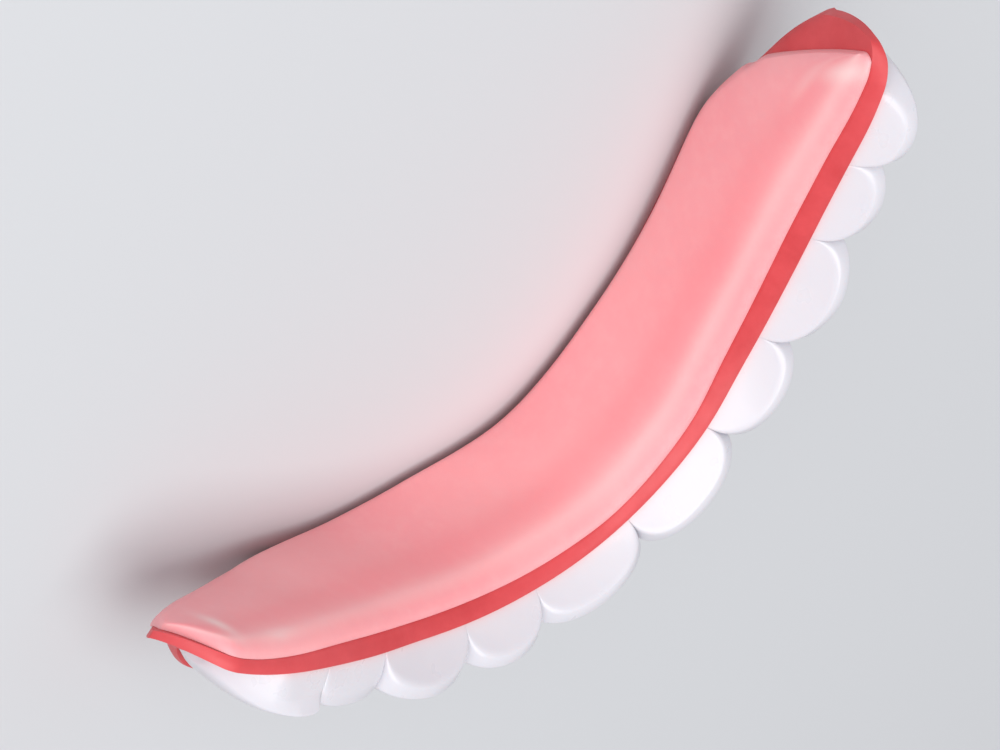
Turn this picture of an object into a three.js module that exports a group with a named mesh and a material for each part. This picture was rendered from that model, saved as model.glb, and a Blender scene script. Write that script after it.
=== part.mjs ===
// A clip-on upper row of false teeth: ten crowns seated in the groove of a gum coloured tray,
// with a soft fitting pad behind it. It stands on the gum edge, incisal edges up.
// X runs across the arch, +Y is the front of the mouth, +Z the incisal edges. Millimetres.
import * as THREE from "three";

// The arch: in plan a parabola, its front middle at the origin
const ARCH_SPAN = 50.0; // width across the arch, ARCH_DEPTH behind its front
const ARCH_DEPTH = 21.0;
const SEAT_GAP = 0.3; // clearance between pieces that seat in or on each other
const TOOTH_GAP = 0.2; // clearance between neighbouring crowns

// The crowns
const CENTRAL_WIDTH = 8.0; // width of a central incisor, along the arch
const TIP_RISE = 2.0; // height of an incisal edge above the notches beside it
const NOTCH_LIFT = 1.0; // rise of the line of notches from the middle to the row's ends
const CORNER_DEPTH = 1.1; // how far a crown's side corners lie behind its front, at the neck
const TIP_CORNER_DEPTH = 0.35; // and at the incisal edge
const TIP_CORNER_LIFT = 0.1; // and how far those corners stand above the line of notches
const OUTER_CORNER_DEPTH = 1.35; // the two last crowns turn in further on their outer side
const OUTER_TIP_DEPTH = 0.9;
const CROWN_BULGE = 1.0; // how far the front face swells in front of the incisal edge
const NECK_TUCK = 0.4; // how far the front face draws in at the neck
const NECK_SHARE = 0.3; // share of the crown's height over which it draws in
const EDGE_THICKNESS = 0.7; // front to back at the incisal edge
const EDGE_ROUNDING = 0.4; // rounding between the incisal edge and the back face
const BACK_HOLLOW = 1.2; // power above 1: the back face hollows towards the rim

// The gum coloured tray
const NOTCH_HEIGHT = 10.7; // from the gum edge up to the notches between the crowns
const GROOVE_HEIGHT = 2.4; // from the gum edge up to the floor of the groove
const FLOOR_THICKNESS = 1.4; // least gum under the groove, where the gum edge climbs
const RIM_SET_BACK = 2.42; // from the line of the incisal edges back to the front of the rim
const RIM_DEPTH = 0.72; // the rim's top, front to back
const FLANGE_SET_BACK = 0.3; // from the line of the incisal edges back to the flange's foot
const FLANGE_THICKNESS = 1.0;
const MARGIN_HEIGHT = 3.4; // from the gum edge up to the gum margin at the middle of a crown
const PAPILLA_RISE = 2.9; // how far the gum climbs between two crowns
const LIP_THICKNESS = 0.5; // gum in front of a crown's neck
const LEAST_LIP = 0.15; // least height of the lip above the groove's floor
const LEAST_CROWN = 1.6; // least height of crown that shows above the gum in front
const PAPILLA_DEPTH = 0.35; // how far the gum draws in between two crowns
const ROOT_BULGE = 0.35; // swelling of the gum over each root
const RIGHT_MARGIN = 2.15; // tray beyond the last crown at -X
const LEFT_MARGIN = 4.5; // tray beyond the last crown at +X
const END_ROUND = 2.7; // length of the tray's rounded ends
const END_WALL = 0.85; // wall thickness beyond the last crowns
const END_EDGE = 0.5; // and at the tray's very ends
const END_FLARE = 0.45; // how far the tray's two ends stand out

// The fitting pad
const PAD_THICKNESS = 1.3; // at its fullest, behind the tray's back wall
const PAD_EDGE = 1.0; // thickness of its lower edge
const PAD_ROLL = 1.4; // extra thickness of the lower edge where the pad rolls over
const RIGHT_PAD_MARGIN = 0.9; // how far it stops short of the tray's -X end
const LEFT_PAD_MARGIN = 0.6; // and of its +X end
const PAD_TOP_DROP = 0.25; // its upper edge below the back of the rim
const PAD_CROWNING = 0.4; // share of its height over which the upper edge rounds over
const PAD_END_ROUND = 1.4; // length of its rounded ends
const PAD_TAPER = 6.0; // length over which it thins towards its two ends
const PAD_SLANT = 0.75; // slant of its -X end, furthest at the rim: mm along for each mm up
const PAD_SLANT_LENGTH = 9.0; // length over which the slant comes in
const PAD_TOP_SHARE = 0.25; // thickness of the upper edge, a share of PAD_THICKNESS
const PAD_END_SHARE = 0.35; // thickness of its two ends, a share of the section's

const COLOURS = { tooth: 0xf5eff2, gum: 0xdd5f66, pad: 0xf4a3a8 };

// One row a crown, from the -X end to the +X end of the arch. Width is a share of CENTRAL_WIDTH
// and rise of TIP_RISE. Point is the power of the dome of the incisal edge: 2 is round, less is
// pointed. Drop is how far the crown's outer side stands below the line of notches, a share of
// NOTCH_HEIGHT.
const CROWNS = [
  { name: "second_premolar_right", width: 0.812, rise: 1.33, point: 1.9, drop: 0.2 },
  { name: "first_premolar_right", width: 0.755, rise: 0.85, point: 1.8, drop: 0 },
  { name: "canine_right", width: 0.975, rise: 1.06, point: 1.7, drop: 0 },
  { name: "lateral_incisor_right", width: 0.875, rise: 0.95, point: 2.0, drop: 0 },
  { name: "central_incisor_right", width: 1.03, rise: 0.98, point: 2.1, drop: 0 },
  { name: "central_incisor_left", width: 1.069, rise: 0.88, point: 2.1, drop: 0 },
  { name: "lateral_incisor_left", width: 0.834, rise: 0.92, point: 2.0, drop: 0 },
  { name: "canine_left", width: 1.006, rise: 0.94, point: 1.7, drop: 0 },
  { name: "first_premolar_left", width: 0.756, rise: 0.36, point: 2.1, drop: 0 },
  { name: "second_premolar_left", width: 0.9, rise: 1.1, point: 1.9, drop: 0.38 },
];

// Edges of the tray and the pad along the arch. At is a share of the tray's length on its side of
// the middle, -1 at the -X end and 1 at the +X end. Rim and back are how far the front and the
// back edge of the rim stand above the notches' height in the middle, foot and pad the heights of
// the tray's and the pad's lower edges, all four shares of NOTCH_HEIGHT. Fat is a share of
// PAD_ROLL and flare of END_FLARE.
const EDGES = [
  { at: -1.0, rim: 0.075, back: 0.01, foot: 0.53, pad: 0.52, fat: 0, flare: 1 },
  { at: -0.88, rim: 0.082, back: -0.003, foot: 0.36, pad: 0.335, fat: 0, flare: 0.4 },
  { at: -0.79, rim: 0.052, back: -0.049, foot: 0.24, pad: 0.21, fat: 0, flare: 0 },
  { at: -0.674, rim: 0.014, back: -0.087, foot: 0.05, pad: 0.05, fat: 0, flare: 0 },
  { at: -0.596, rim: -0.002, back: -0.107, foot: 0, pad: 0.045, fat: 0, flare: 0 },
  { at: -0.466, rim: -0.018, back: -0.114, foot: 0, pad: 0.045, fat: 0, flare: 0 },
  { at: -0.337, rim: -0.022, back: -0.107, foot: 0, pad: 0.03, fat: 0, flare: 0 },
  { at: -0.22, rim: 0, back: -0.067, foot: 0, pad: 0.027, fat: 0.3, flare: 0 },
  { at: 0.0, rim: -0.013, back: -0.063, foot: 0, pad: 0.028, fat: 0.2, flare: 0 },
  { at: 0.12, rim: -0.02, back: -0.083, foot: 0, pad: 0.02, fat: 0.7, flare: 0 },
  { at: 0.22, rim: -0.024, back: -0.093, foot: 0, pad: 0.02, fat: 1, flare: 0 },
  { at: 0.34, rim: -0.021, back: -0.1, foot: 0, pad: 0.02, fat: 0.55, flare: 0 },
  { at: 0.48, rim: -0.016, back: -0.093, foot: 0, pad: 0.05, fat: 0.05, flare: 0 },
  { at: 0.6, rim: 0.016, back: -0.07, foot: 0.07, pad: 0.115, fat: 0, flare: 0 },
  { at: 0.697, rim: 0.034, back: -0.045, foot: 0.22, pad: 0.187, fat: 0, flare: 0.1 },
  { at: 0.793, rim: 0.046, back: -0.012, foot: 0.325, pad: 0.285, fat: 0, flare: 0.45 },
  { at: 0.9, rim: 0.027, back: -0.005, foot: 0.42, pad: 0.39, fat: 0, flare: 0.85 },
  { at: 1.0, rim: -0.009, back: -0.047, foot: 0.56, pad: 0.555, fat: 0, flare: 0.6 },
];
const RIGHT_END_HEIGHT = 9.7; // height at which the tray's -X end is longest
const LEFT_END_HEIGHT = 6.5; // and its +X end

// Where each crown begins and ends along the arch, measured from its middle
const middleIndex = CROWNS.length / 2;
const widths = CROWNS.map((crown) => crown.width * CENTRAL_WIDTH);
const sum = (list) => list.reduce((total, value) => total + value, 0);
const rightRow = sum(widths.slice(0, middleIndex));
const leftRow = sum(widths.slice(middleIndex));
const crownStarts = widths.map((_, index) => sum(widths.slice(0, index)) - rightRow);
const rightEnd = rightRow + RIGHT_MARGIN;
const leftEnd = leftRow + LEFT_MARGIN;

// A smooth curve through a column of the table, that does not overshoot between two rows
function column(name) {
  const x = EDGES.map((row) => row.at);
  const y = EDGES.map((row) => row[name]);
  const slope = x.slice(1).map((value, i) => (y[i + 1] - y[i]) / (value - x[i]));
  const tangent = y.map((_, i) => {
    if (i === 0) return slope[0];
    if (i === y.length - 1) return slope[i - 1];
    return slope[i - 1] * slope[i] > 0 ? (2 * slope[i - 1] * slope[i]) / (slope[i - 1] + slope[i]) : 0;
  });
  return (at) => {
    const place = THREE.MathUtils.clamp(at, -1, 1);
    const i = Math.min(x.findLastIndex((value) => value <= place), x.length - 2);
    const h = x[i + 1] - x[i];
    const t = (place - x[i]) / h;
    const rise = 3 * t * t - 2 * t * t * t;
    return y[i] + (y[i + 1] - y[i]) * rise
      + h * tangent[i] * (t - 2 * t * t + t * t * t) + h * tangent[i + 1] * (t * t * t - t * t);
  };
}
const names = ["rim", "back", "foot", "pad", "fat", "flare"];
const edge = Object.fromEntries(names.map((name) => [name, column(name)]));
const share = (s) => (s < 0 ? s / rightEnd : s / leftEnd);
const lerp = THREE.MathUtils.lerp;
const smooth = (value) => THREE.MathUtils.smoothstep(value, 0, 1);

// The point at arc length s, offset outwards by o from the line of the incisal edges, at height
// z. Newton's rule finds where the arc from the middle has that length.
const bend = ARCH_DEPTH / (ARCH_SPAN / 2) ** 2;
function archX(s) {
  let x = s * 0.8;
  for (let step = 0; step < 12; step += 1) {
    const k = 2 * bend * x;
    const length = (k * Math.sqrt(1 + k * k) + Math.asinh(k)) / (4 * bend);
    x -= (length - s) / Math.sqrt(1 + k * k);
  }
  return x;
}
function place(s, o, z) {
  const x = archX(s);
  const k = 2 * bend * x;
  const norm = Math.sqrt(1 + k * k);
  const out = o + END_FLARE * edge.flare(share(s));
  return new THREE.Vector3(x + (out * k) / norm, -bend * x * x + out / norm, z);
}

// The tray and the pad close in a half round at either end: heights close in on the height at
// which that end is longest, by the factor given here.
function endRound(s, length, round) {
  const along = (Math.abs(s) - (length - round)) / round;
  return along <= 0 ? 1 : Math.sqrt(Math.max(0, 1 - along * along));
}
function closeIn(s, height, shortBy = 0, round = END_ROUND) {
  const length = (s < 0 ? rightEnd : leftEnd) - shortBy;
  const middle = s < 0 ? RIGHT_END_HEIGHT : LEFT_END_HEIGHT;
  return middle + (height - middle) * endRound(s, length, round);
}
const backLine = (s) => NOTCH_HEIGHT * (1 + edge.back(share(s)));
const footLine = (s) => NOTCH_HEIGHT * edge.foot(share(s));
const rimFront = (s) => closeIn(s, NOTCH_HEIGHT * (1 + edge.rim(share(s))));
const rimBack = (s) => closeIn(s, backLine(s));
const foot = (s) => closeIn(s, footLine(s));
const notchHeight = (s) => {
  const row = s < 0 ? rightRow : leftRow;
  return NOTCH_HEIGHT + NOTCH_LIFT * Math.min(1, Math.abs(s) / row) ** 3;
};

// A crown, in its own terms: side is -1 at its -X side and 1 at its +X side
const crownPlace = (index, side) =>
  crownStarts[index] + TOOTH_GAP / 2 + ((widths[index] - TOOTH_GAP) * (1 + side)) / 2;
const grooveFloor = (s) => Math.max(GROOVE_HEIGHT, foot(s) + FLOOR_THICKNESS);
const WALL_CURVE = 0.6; // power below 1: the wall leans back low down and is steep near the rim
function wallBack(s, z) {
  const up = THREE.MathUtils.clamp((z - footLine(s)) / (backLine(s) - footLine(s)), 0, 1);
  return -lerp(FLANGE_SET_BACK + FLANGE_THICKNESS, RIM_SET_BACK + RIM_DEPTH, up ** WALL_CURVE);
}
const grooveBack = (s, z) => wallBack(s, z) + RIM_DEPTH;
const CORNER_POWER = 2.6; // the front face is flat in the middle and turns at the corners
const OUTER_CORNER_POWER = 2.0; // and turns sooner on the outer side of the last crowns
const lastIndex = CROWNS.length - 1;
const isOuter = (index, side) => (index === 0 && side < 0) || (index === lastIndex && side > 0);
function crownTip(index, side) {
  const crown = CROWNS[index];
  const outward = index < middleIndex ? (1 - side) / 2 : (1 + side) / 2;
  const notch = notchHeight(crownPlace(index, side)) + TIP_CORNER_LIFT;
  const dome = Math.sqrt(Math.max(0, 1 - Math.abs(side) ** crown.point));
  const rise = crown.rise * TIP_RISE - TIP_CORNER_LIFT;
  return notch - crown.drop * NOTCH_HEIGHT * outward + rise * dome;
}
function crownFront(index, side, z) {
  const neck = grooveFloor(crownPlace(index, side)) + SEAT_GAP;
  const up = THREE.MathUtils.clamp((z - neck) / (crownTip(index, side) - neck), 0, 1);
  const tuck = NECK_TUCK * Math.max(0, 1 - up / NECK_SHARE) ** 2;
  const outer = isOuter(index, side);
  const atNeck = outer ? OUTER_CORNER_DEPTH : CORNER_DEPTH;
  const atTip = outer ? OUTER_TIP_DEPTH : TIP_CORNER_DEPTH;
  const power = outer ? OUTER_CORNER_POWER : CORNER_POWER;
  const corner = lerp(atNeck, atTip, up * up) * Math.abs(side) ** power;
  return CROWN_BULGE * Math.sqrt(1 - up * up) - tuck - corner;
}

// The smaller of two heights, with the corner between them rounded over a height of round
function softMin(a, b, round) {
  const part = THREE.MathUtils.clamp(0.5 + (0.5 * (b - a)) / round, 0, 1);
  return lerp(b, a, part) - round * part * (1 - part);
}

// Up the front face from the neck, over the incisal edge, down the flat back face to the rim
const FRONT_LEVELS = [0, 0.14, 0.3, 0.5, 0.7, 0.85, 0.95];
const FACE_LEVELS = [0.15, 0.35, 0.55, 0.78];
const SHOULDER_DROP = 0.1; // least drop from the incisal edge to the shoulder at the rim
const LEAST_FACE = 0.15; // least depth of the back face, front to back
const BACK_LEVELS = [0, 0.33, 0.66, 1];
function crownSection(index, side) {
  const s = crownPlace(index, side);
  const neck = grooveFloor(s) + SEAT_GAP;
  const tip = crownTip(index, side);
  const shoulder = Math.min(rimFront(s) - SEAT_GAP, tip - SHOULDER_DROP);
  const behind = (z) => grooveBack(s, z) + SEAT_GAP;
  const rimSide = behind(shoulder);
  const tipFront = crownFront(index, side, tip);
  const tipBack = Math.max(tipFront - EDGE_THICKNESS, rimSide + LEAST_FACE);
  const frontHeights = FRONT_LEVELS.map((up) => lerp(neck, tip, up));
  const front = frontHeights.map((z) => [crownFront(index, side, z), z]);
  const rise = crownTip(index, 0) - shoulder;
  const faceOffsets = FACE_LEVELS.map((t) => lerp(tipBack, rimSide, t));
  const face = faceOffsets.map((o) => {
    const along = Math.max(0, (o - rimSide) / (-EDGE_THICKNESS - rimSide));
    return [o, softMin(tip, shoulder + rise * along ** BACK_HOLLOW, EDGE_ROUNDING)];
  });
  const back = BACK_LEVELS.map((down) => lerp(shoulder, neck, down)).map((z) => [behind(z), z]);
  return [...front, [tipFront, tip], [tipBack, tip], ...face, ...back]
    .map(([o, z]) => place(s, o, z));
}

// The tray. Beside a crown its section has a groove between the back wall and the gum lip.
// Beyond the last crowns there is no groove, and the section thins to the end wall.
function gumFront(s, index, side, z, margin) {
  const up = THREE.MathUtils.clamp((z - foot(s)) / (margin - foot(s)), 0, 1);
  const drawnIn = isOuter(index, side)
    ? OUTER_CORNER_DEPTH * Math.abs(side) ** OUTER_CORNER_POWER
    : PAPILLA_DEPTH * Math.abs(side) ** CORNER_POWER;
  const top = crownFront(index, 0, margin) + LIP_THICKNESS - drawnIn;
  const root = ROOT_BULGE * (1 - side * side) * Math.sin(Math.PI * up);
  return lerp(-FLANGE_SET_BACK, top, Math.sin((up * Math.PI) / 2)) + root;
}
const END_THINNING = 0.15; // share of the end over which the section thins to the end wall
const GUM_LEVELS = [0, 0.15, 0.35, 0.6, 0.85, 1];
const WALL_LEVELS = [0.75, 0.5, 0.25, 0];
function traySection(s, index, side, beyond) {
  const low = foot(s);
  const rim = rimFront(s);
  const isEnd = beyond !== undefined;
  const floor = grooveFloor(s);
  const outer = isOuter(index, side);
  const papilla = outer ? 0 : PAPILLA_RISE * side * side;
  const sunk = outer ? 1 - (1 - Math.abs(side)) ** 2 : 0;
  const lifted = floor + MARGIN_HEIGHT - GROOVE_HEIGHT + papilla;
  const raised = Math.min(lifted, crownTip(index, side) - LEAST_CROWN, rim);
  const lipTop = lerp(raised, floor + LEAST_LIP, sunk);
  const margin = isEnd ? lerp(lipTop, rim, smooth(beyond)) : lipTop;
  const thin = isEnd ? smooth(beyond / END_THINNING) : 0;
  const wall = isEnd ? lerp(END_WALL, END_EDGE, beyond * beyond) : END_WALL;
  const front = GUM_LEVELS.map((up) => {
    const z = lerp(low, margin, up);
    return [lerp(gumFront(s, index, side, z, margin), wallBack(s, z) + wall, thin), z];
  });
  const rimDepth = isEnd ? Math.min(RIM_DEPTH, wall) : RIM_DEPTH;
  const rimEdge = [wallBack(s, rimBack(s)) + rimDepth, rim];
  const lipEdge = front[front.length - 1];
  const between = (t) => [lerp(lipEdge[0], rimEdge[0], t), lerp(lipEdge[1], rimEdge[1], t)];
  const lip = (z) => [crownFront(index, side, z) + SEAT_GAP, z];
  const wallHeights = [0, 0.33, 0.66].map((up) => lerp(floor, rim, up));
  const grooveWall = wallHeights.map((z) => [grooveBack(s, z), z]);
  const groove = [lip(margin), lip(lerp(floor, margin, 0.5)), lip(floor), ...grooveWall];
  const inside = isEnd ? groove.map((_, i) => between((i + 1) / (groove.length + 1))) : groove;
  const back = WALL_LEVELS.map((up) => lerp(low, rimBack(s), up)).map((z) => [wallBack(s, z), z]);
  const rimTop = [rimEdge, [wallBack(s, rimBack(s)), rimBack(s)]];
  return [...front, ...inside, ...rimTop, ...back].map(([o, z]) => place(s, o, z));
}

// The fitting pad, against the back wall of the tray
const PAD_LEVELS = [0, 0.05, 0.16, 0.32, 0.52, 0.74, 0.92, 1];
const padReach = { right: rightEnd - RIGHT_PAD_MARGIN, left: leftEnd - LEFT_PAD_MARGIN };
function padSection(s) {
  const length = s < 0 ? padReach.right : padReach.left;
  const shortBy = s < 0 ? RIGHT_PAD_MARGIN : LEFT_PAD_MARGIN;
  const taper = endRound(s, length, PAD_TAPER);
  const slant = s < 0 ? PAD_SLANT * smooth(1 - (length + s) / PAD_SLANT_LENGTH) : 0;
  const slanted = (z) => s - slant * (z - RIGHT_END_HEIGHT);
  const lowLine = (at) => closeIn(at, NOTCH_HEIGHT * edge.pad(share(at)));
  const top = closeIn(s, rimBack(s) - PAD_TOP_DROP, shortBy, PAD_END_ROUND);
  const low = closeIn(s, lowLine(slanted(lowLine(s))), shortBy, PAD_END_ROUND);
  const point = (z, thick) => {
    const at = slanted(z);
    const height = Math.min(z, rimBack(at) - PAD_TOP_DROP);
    return place(at, wallBack(at, height) - SEAT_GAP - thick, height);
  };
  const face = PAD_LEVELS.map((down) => {
    const swell = Math.sqrt(1 - Math.max(0, 1 - down / PAD_CROWNING) ** 2);
    const fall = Math.max(0, (down - PAD_CROWNING) / (1 - PAD_CROWNING));
    const roll = PAD_ROLL * edge.fat(share(s)) * fall * fall;
    const upper = PAD_THICKNESS * lerp(PAD_TOP_SHARE, 1, swell);
    const thick = upper - (PAD_THICKNESS - PAD_EDGE) * fall + roll;
    return point(lerp(top, low, down), thick * lerp(PAD_END_SHARE, 1, taper));
  });
  const back = [1, 0.66, 0.33, 0].map((down) => point(lerp(top, low, down), 0));
  return [...face, ...back];
}

// A closed body through rings with equally many points: walls between them and a cap at each end
function loft(rings) {
  const count = rings[0].length;
  const points = rings.flat();
  const triangles = [];
  for (let ring = 0; ring < rings.length - 1; ring += 1) {
    for (let i = 0; i < count; i += 1) {
      const a = ring * count + i;
      const b = ring * count + ((i + 1) % count);
      triangles.push(a, b, b + count, a, b + count, a + count);
    }
  }
  for (const last of [false, true]) {
    const first = last ? (rings.length - 1) * count : 0;
    const ring = points.slice(first, first + count);
    const centre = ring.reduce((total, p) => total.add(p), new THREE.Vector3()).divideScalar(count);
    points.push(centre);
    for (let i = 0; i < count; i += 1) {
      const a = first + i;
      const b = first + ((i + 1) % count);
      triangles.push(points.length - 1, last ? a : b, last ? b : a);
    }
  }
  const geometry = new THREE.BufferGeometry();
  const numbers = points.flatMap((p) => p.toArray());
  geometry.setAttribute("position", new THREE.Float32BufferAttribute(numbers, 3));
  geometry.setIndex(triangles);
  geometry.computeVertexNormals();
  return geometry;
}

// Where the sections stand
const CROWN_STEPS = [-1, -0.9, -0.72, -0.5, -0.25, 0, 0.25, 0.5, 0.72, 0.9, 1];
const TRAY_STEPS = [-1, -0.75, -0.5, -0.25, 0, 0.25, 0.5, 0.75, 1];
const END_STEPS = [0.01, 0.15, 0.3, 0.45, 0.6, 0.72, 0.82, 0.9, 0.96, 0.989];
const trayEnd = (index, side, from, to) =>
  END_STEPS.map((beyond) => traySection(lerp(from, to, beyond), index, side, beyond));
const trayRings = [
  ...trayEnd(0, -1, -rightRow, -rightEnd).reverse(),
  ...CROWNS.flatMap((_, index) =>
    TRAY_STEPS.map((side) => traySection(crownPlace(index, side), index, side))),
  ...trayEnd(lastIndex, 1, leftRow, leftEnd),
];
const PAD_COUNT = 56; // sections of the pad between its two rounded ends
const roundSteps = [0.3, 0.55, 0.75, 0.9, 0.985];
const padPlaces = [
  ...roundSteps.map((t) => -(padReach.right - PAD_END_ROUND * (1 - t))).reverse(),
  ...Array.from({ length: PAD_COUNT + 1 }, (_, i) =>
    lerp(PAD_END_ROUND - padReach.right, padReach.left - PAD_END_ROUND, i / PAD_COUNT)),
  ...roundSteps.map((t) => padReach.left - PAD_END_ROUND * (1 - t)),
];

function piece(name, rings, colour, roughness) {
  const material = new THREE.MeshStandardMaterial({ color: colour, roughness, metalness: 0 });
  const mesh = new THREE.Mesh(loft(rings), material);
  mesh.name = name;
  return mesh;
}

const teeth = new THREE.Group();
teeth.add(piece("gum_tray", trayRings, COLOURS.gum, 0.35));
teeth.add(piece("fitting_pad", padPlaces.map(padSection), COLOURS.pad, 0.45));
CROWNS.forEach((crown, index) => {
  const rings = CROWN_STEPS.map((side) => crownSection(index, side));
  teeth.add(piece(crown.name, rings, COLOURS.tooth, 0.2));
});

// The origin is the middle of the outline seen from above, at the gum edge
const box = new THREE.Box3().setFromObject(teeth);
teeth.position.set(-(box.min.x + box.max.x) / 2, -(box.min.y + box.max.y) / 2, -box.min.z);

export default teeth;
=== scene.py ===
# %% [markdown]
# # A clip-on row of false teeth, seen from behind
# The real object is a short arch of moulded plastic: ten white crowns seated in a red-pink gum tray,
# with a paler, softer fitting pad behind it that lies on the wearer's own gum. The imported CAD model
# gives every size and place. Here each of its pieces is worked out again as a fine smooth surface,
# from the same named sizes, and gets a finish that follows the real plastics.

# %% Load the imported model
import math
import bpy
import numpy as np
from mathutils import Matrix, Vector


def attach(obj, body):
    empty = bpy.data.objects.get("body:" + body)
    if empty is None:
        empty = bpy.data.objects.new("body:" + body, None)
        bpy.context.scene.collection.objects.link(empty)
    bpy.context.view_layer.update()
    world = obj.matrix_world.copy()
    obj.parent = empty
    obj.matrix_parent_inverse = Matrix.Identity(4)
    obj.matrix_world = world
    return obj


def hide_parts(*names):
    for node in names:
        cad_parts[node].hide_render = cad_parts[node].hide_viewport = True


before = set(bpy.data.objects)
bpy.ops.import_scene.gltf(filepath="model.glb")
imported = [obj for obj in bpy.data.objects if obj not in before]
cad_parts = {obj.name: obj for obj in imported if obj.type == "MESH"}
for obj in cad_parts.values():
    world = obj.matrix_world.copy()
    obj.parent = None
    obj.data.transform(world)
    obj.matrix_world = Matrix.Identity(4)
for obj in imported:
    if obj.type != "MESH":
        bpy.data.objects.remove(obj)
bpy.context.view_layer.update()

# %% [markdown]
# ## The camera
# The photo was taken with a long lens, so the two arms of the arch hardly differ in scale, and the
# camera was rolled by about 131 degrees. The camera could be placed by eye, but its place and roll
# were fitted to the notches between the crowns instead, so that every lobe lands where it should.
# It looks down at the floor from 23 degrees and needs no lens shift.

# %% Place the camera
MM = 0.001
ARCH_MIDDLE = (-0.7044, 13.3352)  # the arch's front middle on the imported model, mm
NOTCH_HEIGHT = 10.7  # from the gum edge up to the notches between the crowns
AZIMUTH = 0.2079  # round the arch from straight behind it, radians
ELEVATION = 0.3969
ROLL = -2.2859
DISTANCE = 372.05  # from the fitted aim to the lens, mm
LENS = 234.4
SENSOR_WIDTH = 36.0
AIM_BEHIND = 8.0  # the fitted aim lies this far behind the arch's front, mm
PICTURE_SHIFT = (0.283, 9.005)  # from the fitted aim left and down to the picture's middle, mm

turn_back = np.array([math.sin(AZIMUTH) * math.cos(ELEVATION),
                      -math.cos(AZIMUTH) * math.cos(ELEVATION), math.sin(ELEVATION)])
turn_right = np.array([math.cos(AZIMUTH), math.sin(AZIMUTH), 0.0])
turn_up = np.cross(turn_back, turn_right)
fitted_aim = np.array([ARCH_MIDDLE[0], ARCH_MIDDLE[1] - AIM_BEHIND, NOTCH_HEIGHT])
camera_place = fitted_aim + DISTANCE * turn_back
picture_middle = fitted_aim - PICTURE_SHIFT[0] * turn_right - PICTURE_SHIFT[1] * turn_up
picture_up = math.sin(ROLL) * turn_right + math.cos(ROLL) * turn_up

axis_back = camera_place - picture_middle
axis_back /= np.linalg.norm(axis_back)
axis_up = picture_up - axis_back * (picture_up @ axis_back)
axis_up /= np.linalg.norm(axis_up)
axis_right = np.cross(axis_up, axis_back)
pose = np.eye(4)
pose[:3, :3] = np.stack([axis_right, axis_up, axis_back], axis=1)
pose[:3, 3] = camera_place * MM

camera = bpy.data.objects.new("camera", bpy.data.cameras.new("camera"))
bpy.context.scene.collection.objects.link(camera)
camera.data.lens = LENS
camera.data.sensor_width = SENSOR_WIDTH
camera.data.clip_start = 0.01
camera.data.clip_end = 10.0
camera.matrix_world = Matrix(pose.tolist())
bpy.context.scene.camera = camera
print("camera at", camera_place.round(1), "mm")

# %% [markdown]
# ## Floor and light
# The photo has a blank background and very soft light with no hard shadow. It comes from above and
# a little from the +X side, so that the inner face of the other arm is lit. A wide plain floor, one
# large soft lamp overhead, another behind the camera and a pale sky give that. A small lamp would
# burn bright spots into the glossy crowns, so both lamps are many times wider than the object.
# Product photos keep their colours bright, so the plain Standard view is used: the filmic one would
# wash the pinks out.

# %% Lay the floor and hang the lamps
FLOOR_SIZE = 3.0  # metres
SKY_STRENGTH = 0.50
LAMP_AIM = (0, 0, 0.006)  # the middle of the object


def plain_material(name, colour, roughness):
    """A principled material with one colour and one roughness, to which detail can be added."""
    material = bpy.data.materials.new(name)
    material.use_nodes = True
    shader = material.node_tree.nodes["Principled BSDF"]
    shader.inputs["Base Color"].default_value = (*colour, 1.0)
    shader.inputs["Roughness"].default_value = roughness
    return material


half = FLOOR_SIZE / 2
floor_mesh = bpy.data.meshes.new("floor")
floor_mesh.from_pydata([(-half, -half, 0), (half, -half, 0), (half, half, 0), (-half, half, 0)], [],
                       [(0, 1, 2, 3)])
floor_mesh.materials.append(plain_material("pale_floor", (0.60, 0.61, 0.63), 0.85))
floor = bpy.data.objects.new("floor", floor_mesh)
bpy.context.scene.collection.objects.link(floor)


def soft_lamp(name, place, aim, size, power, colour):
    """A square area lamp of the given width in metres, turned towards a point."""
    lamp = bpy.data.lights.new(name, "AREA")
    lamp.size = size
    lamp.energy = power
    lamp.color = colour
    holder = bpy.data.objects.new(name, lamp)
    holder.location = place
    holder.rotation_euler = (Vector(aim) - Vector(place)).to_track_quat("-Z", "Y").to_euler()
    bpy.context.scene.collection.objects.link(holder)
    return holder


soft_lamp("overhead_lamp", (0.08, -0.18, 0.62), LAMP_AIM, 0.6, 2.9, (1.0, 0.99, 0.975))
soft_lamp("camera_side_lamp", (0.24, -0.66, 0.34), LAMP_AIM, 0.7, 3.2, (0.98, 0.99, 1.0))
bpy.context.scene.view_settings.view_transform = "Standard"

sky = bpy.data.worlds.new("pale_sky")
sky.use_nodes = True
sky.node_tree.nodes["Background"].inputs["Color"].default_value = (0.95, 0.96, 1.0, 1.0)
sky.node_tree.nodes["Background"].inputs["Strength"].default_value = SKY_STRENGTH
bpy.context.scene.world = sky

# %% [markdown]
# ## Named sizes
# The pieces share one set of sizes in millimetres, the ones that the CAD model was made from. Only
# the joints between the pieces, the thin lip and the last rows of the -X end differ a little. Places
# along the arch are told by s, the length along it from its middle, o, how far outwards, and z, the
# height above the gum edge. A table row holds good at one place, and a smooth curve joins the rows.

# %% Sizes and tables
ARCH_SPAN = 50.0  # width across the arch, ARCH_DEPTH behind its front
ARCH_DEPTH = 21.0
HAIRLINE = 0.02  # clearance that still reads as a tight joint
TOOTH_HAIRLINE = 0.005  # and between two crowns

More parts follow.
